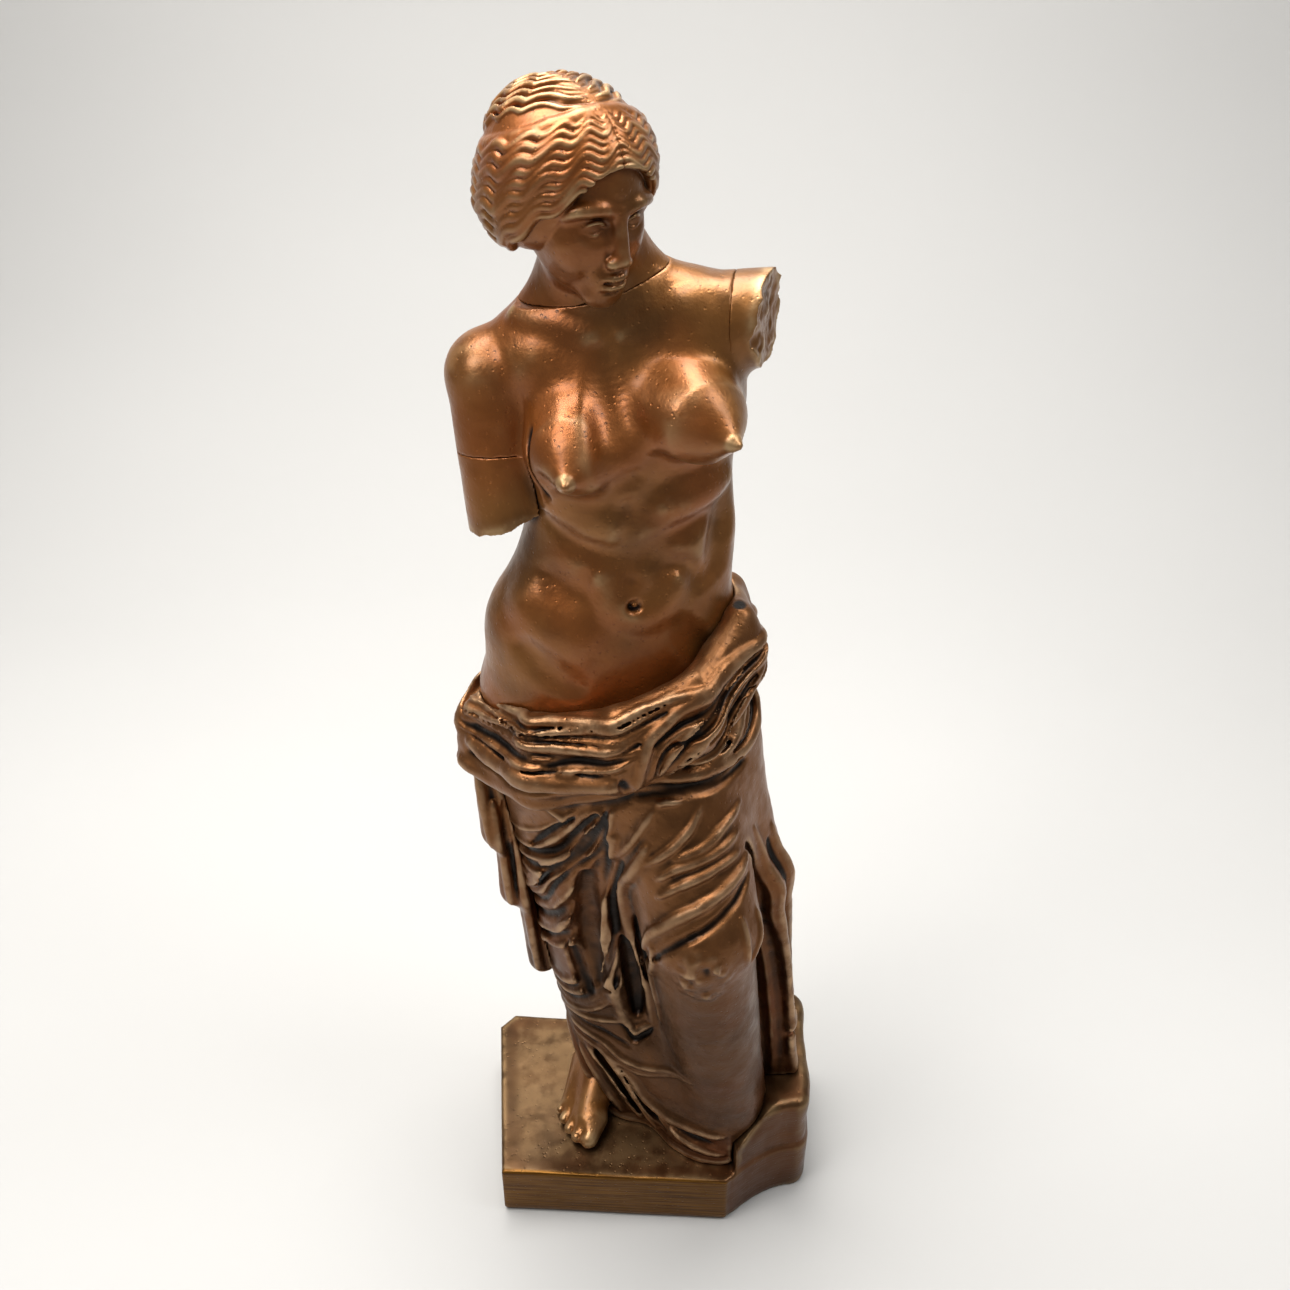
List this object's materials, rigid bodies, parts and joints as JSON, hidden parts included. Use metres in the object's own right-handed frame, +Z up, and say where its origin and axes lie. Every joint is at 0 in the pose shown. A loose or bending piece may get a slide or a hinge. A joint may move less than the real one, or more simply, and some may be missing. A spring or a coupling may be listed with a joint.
{
  "type": "statuette",
  "caption": "Free-standing bronze statuette of an armless, half-draped classical figure on its own hollow plinth.",
  "frame": {"origin": "under the middle of the whole statuette, on the surface it stands on", "axes": "+Z up; the figure faces -Y, and its right side is at -X"},
  "size_m": [0.211, 0.1576, 0.6664],
  "materials": {
    "body_bronze": "satin brown patina",
    "drapery_bronze": "satin dark brown patina, worn paler on the crests",
    "plinth_bronze": "olive-brown patina with a polished, brushed front edge",
    "pin_bronze": "drawn rod, unpatinated",
    "steel": "dull turned steel"
  },
  "bodies": {
    "root": {"plinth": "plinth_bronze", "draped_lower_body": "drapery_bronze", "torso": "body_bronze", "head": "body_bronze", "right_arm_stump": "body_bronze", "left_shoulder_stump": "body_bronze", "right_foot": "body_bronze", "hip_fold": "drapery_bronze", "waist_pin_1": "pin_bronze", "waist_pin_2": "pin_bronze", "waist_pin_3": "pin_bronze", "waist_pin_4": "pin_bronze", "neck_pin_1": "pin_bronze", "neck_pin_2": "pin_bronze", "arm_pin": "pin_bronze", "shoulder_pin": "pin_bronze", "foot_pin": "pin_bronze", "fold_pin_1": "pin_bronze", "fold_pin_2": "pin_bronze", "base_screw_1": "steel", "base_washer_1": "steel", "base_nut_1": "steel", "base_screw_2": "steel", "base_washer_2": "steel", "base_nut_2": "steel", "base_screw_3": "steel", "base_washer_3": "steel", "base_nut_3": "steel", "base_screw_4": "steel", "base_washer_4": "steel", "base_nut_4": "steel"}
  },
  "joints": []
}
